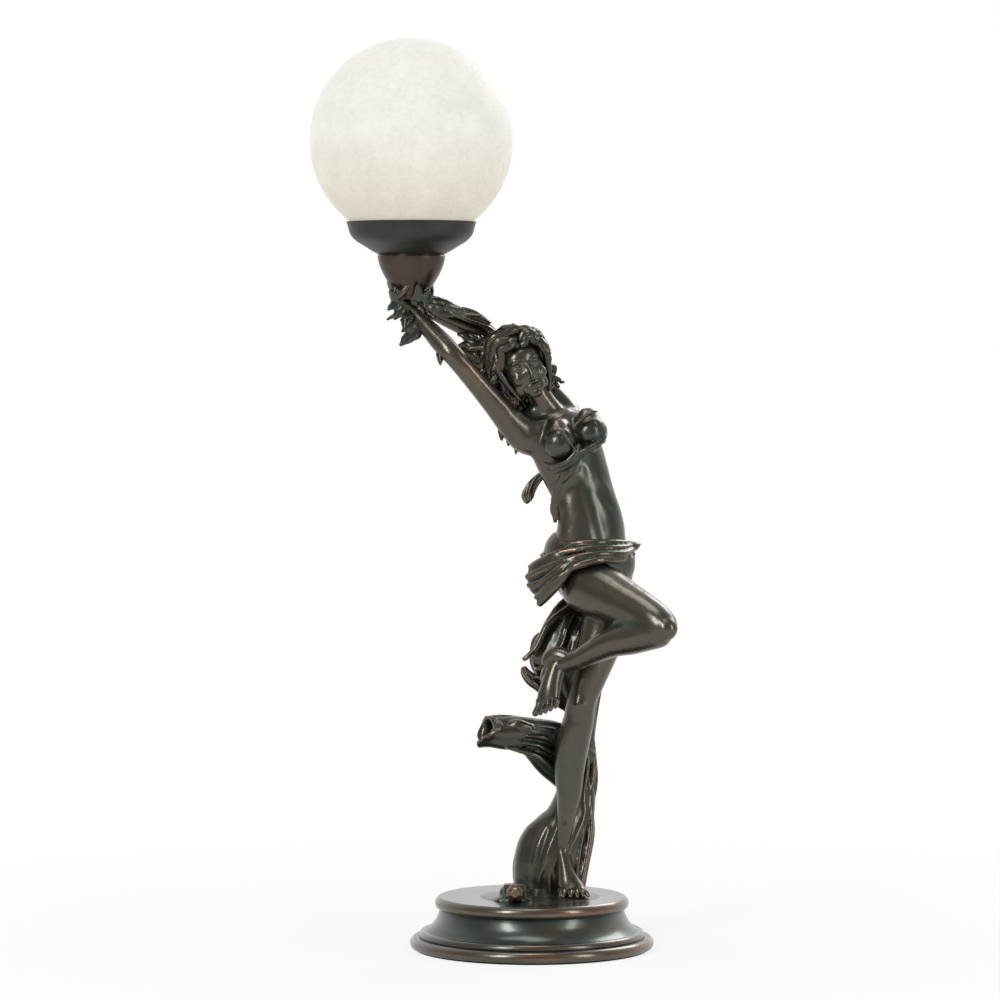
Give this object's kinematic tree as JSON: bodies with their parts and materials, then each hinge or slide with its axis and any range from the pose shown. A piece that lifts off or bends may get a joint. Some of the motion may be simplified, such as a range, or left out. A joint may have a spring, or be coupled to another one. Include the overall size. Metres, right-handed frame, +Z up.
{
  "type": "figural table lamp",
  "caption": "Dark bronze dancing figure on a turned plinth, both arms raised to a cup that carries a frosted crackle-glass globe; rotary switch knob on the plinth",
  "frame": {"origin": "centre of the plinth on the table it stands on", "axes": "+Z up, the figure faces -Y, the cup and globe lean to -X"},
  "size_m": [0.2735, 0.1836, 0.6836],
  "materials": {
    "bronze_patina": "cold-cast bronze, dark patina rubbed back to copper on the high spots",
    "plinth_patina": "cold-cast bronze, dark green-grey patina with coppery rolls",
    "hair_patina": "cold-cast bronze, dark patina in deep strands",
    "drapery_patina": "cold-cast bronze, dark green-grey patina in folds",
    "leaf_patina": "cold-cast bronze leaves, dark patina",
    "cup_bronze": "semi-gloss dark bronze",
    "gallery_bronze": "satin dark bronze",
    "zinc_steel": "zinc-plated steel",
    "ballast_iron": "raw cast iron",
    "felt": "dark green felt",
    "bush_plastic": "matt black moulding",
    "knob_brass": "aged brass",
    "gasket_rubber": "soft translucent ring",
    "holder_plastic": "ivory thermoset",
    "contact_brass": "bright brass",
    "cap_metal": "bright aluminium",
    "bulb_glass": "opal, lit warm",
    "frosted_glass": "frosted crackle glass"
  },
  "bodies": {
    "base": {"arm_ribbon": "drapery_patina", "ballast_disc": "ballast_iron", "base_cover": "zinc_steel", "bust_drape": "drapery_patina", "centre_contact": "contact_brass", "cord_bush": "bush_plastic", "cover_screw_1": "zinc_steel", "cover_screw_2": "zinc_steel", "cover_screw_3": "zinc_steel", "cup_nipple": "zinc_steel", "drape_tail": "drapery_patina", "felt_pad": "felt", "flourish_lip": "drapery_patina", "gallery": "gallery_bronze", "gallery_washer": "zinc_steel", "globe_gasket": "gasket_rubber", "ground_mound": "plinth_patina", "hair": "hair_patina", "hanging_lock": "drapery_patina", "head": "bronze_patina", "hip_drape": "drapery_patina", "lampholder_base": "holder_plastic", "lampholder_insert": "holder_plastic", "lampholder_shell": "holder_plastic", "left_arm": "bronze_patina", "left_hand": "bronze_patina", "lower_drape": "drapery_patina", "mid_flourish": "drapery_patina", "nipple_nut": "zinc_steel", "plinth": "plinth_patina", "raised_foot": "bronze_patina", "raised_shin": "bronze_patina", "raised_thigh": "bronze_patina", "rear_drape": "drapery_patina", "right_arm": "bronze_patina", "right_hand": "bronze_patina", "rotary_switch": "bush_plastic", "screw_shell": "contact_brass", "standing_foot": "bronze_patina", "standing_leg": "bronze_patina", "switch_nut": "zinc_steel", "torch_cup": "cup_bronze", "torch_leaves": "leaf_patina", "torso": "bronze_patina", "tube_nut": "zinc_steel", "tube_washer": "zinc_steel", "upper_flourish": "drapery_patina", "wire_tube": "zinc_steel"},
    "knob": {"switch_knob": "knob_brass", "switch_shaft": "zinc_steel"},
    "bulb": {"bulb_cap": "cap_metal", "bulb_glass": "bulb_glass"},
    "globe": {"globe": "frosted_glass"}
  },
  "joints": [
    {"name": "knob_turn", "type": "hinge", "parent": "base", "child": "knob", "pos_m": [-0.0128, -0.036, 0.047], "axis": [0, -1, 0], "range_deg": [-90, 180]},
    {"name": "bulb_unscrew", "type": "slide", "parent": "base", "child": "bulb", "axis": [0, 0, 1], "range_m": [0, 0.027]},
    {"name": "globe_lift", "type": "slide", "parent": "base", "child": "globe", "axis": [0, 0, 1], "range_m": [0, 0.1]}
  ]
}
